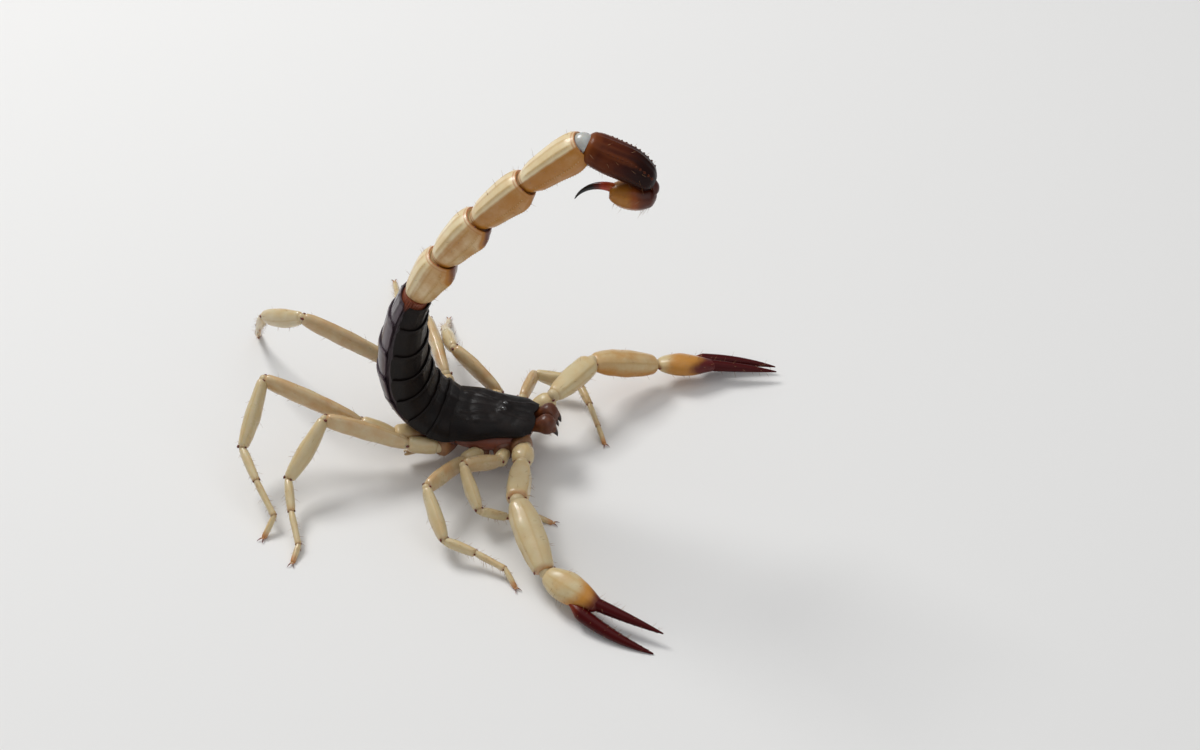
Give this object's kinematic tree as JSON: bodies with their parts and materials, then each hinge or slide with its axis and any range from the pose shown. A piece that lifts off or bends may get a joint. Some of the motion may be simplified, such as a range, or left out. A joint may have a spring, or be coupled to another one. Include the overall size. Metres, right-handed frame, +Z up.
{
  "type": "desert scorpion model",
  "caption": "Life-size still model of a desert scorpion with its tail arched over its back and its claws open, standing on its feet on a flat floor.",
  "frame": {"origin": "middle of the whole outline seen from above, on the floor under the feet", "axes": "+X forward along the body, +Y to the animal's left, +Z up"},
  "size_m": [0.0736, 0.067, 0.0514],
  "materials": {
    "shell": "near-black brown, finely granular, satin",
    "belly": "red-brown, smooth, satin",
    "straw": "pale straw yellow, waxy, smooth satin",
    "tail": "cream to amber, waxy, with raised keels",
    "tail_end": "dark red-brown, with raised keels",
    "amber": "amber, waxy, smooth",
    "finger": "dark maroon, smooth, satin",
    "jaw": "brown, smooth, satin",
    "eye": "black, smooth, glossy",
    "comb": "pale tan, smooth, satin",
    "sting": "black-red, smooth, glossy"
  },
  "bodies": {
    "root": {"carapace": "shell", "eye_right": "eye", "eye_left": "eye", "prosoma_underside": "belly", "chelicera_right": "jaw", "chelicera_left": "jaw", "mesosoma_1": "shell", "mesosoma_2": "shell", "mesosoma_3": "shell", "mesosoma_4": "shell", "mesosoma_5": "shell", "mesosoma_6": "shell", "mesosoma_7": "shell", "metasoma_1": "tail", "metasoma_2": "tail", "metasoma_3": "tail", "metasoma_4": "tail", "metasoma_5": "tail_end", "telson_vesicle": "amber", "aculeus": "sting", "palp_right_trochanter": "straw", "palp_right_femur": "straw", "palp_right_patella": "straw", "palp_right_hand": "straw", "palp_right_free_finger": "finger", "palp_left_trochanter": "straw", "palp_left_femur": "straw", "palp_left_patella": "straw", "palp_left_hand": "straw", "palp_left_free_finger": "finger", "leg_right_1_femur": "straw", "leg_right_1_patella": "straw", "leg_right_1_foot": "straw", "leg_right_2_femur": "straw", "leg_right_2_patella": "straw", "leg_right_2_foot": "straw", "leg_right_3_femur": "straw", "leg_right_3_patella": "straw", "leg_right_3_foot": "straw", "leg_right_4_femur": "straw", "leg_right_4_patella": "straw", "leg_right_4_foot": "straw", "leg_left_1_femur": "straw", "leg_left_1_patella": "straw", "leg_left_1_foot": "straw", "leg_left_2_femur": "straw", "leg_left_2_patella": "straw", "leg_left_2_foot": "straw", "leg_left_3_femur": "straw", "leg_left_3_patella": "straw", "leg_left_3_foot": "straw", "leg_left_4_femur": "straw", "leg_left_4_patella": "straw", "leg_left_4_foot": "straw", "pecten_right": "comb", "pecten_left": "comb"}
  },
  "joints": []
}
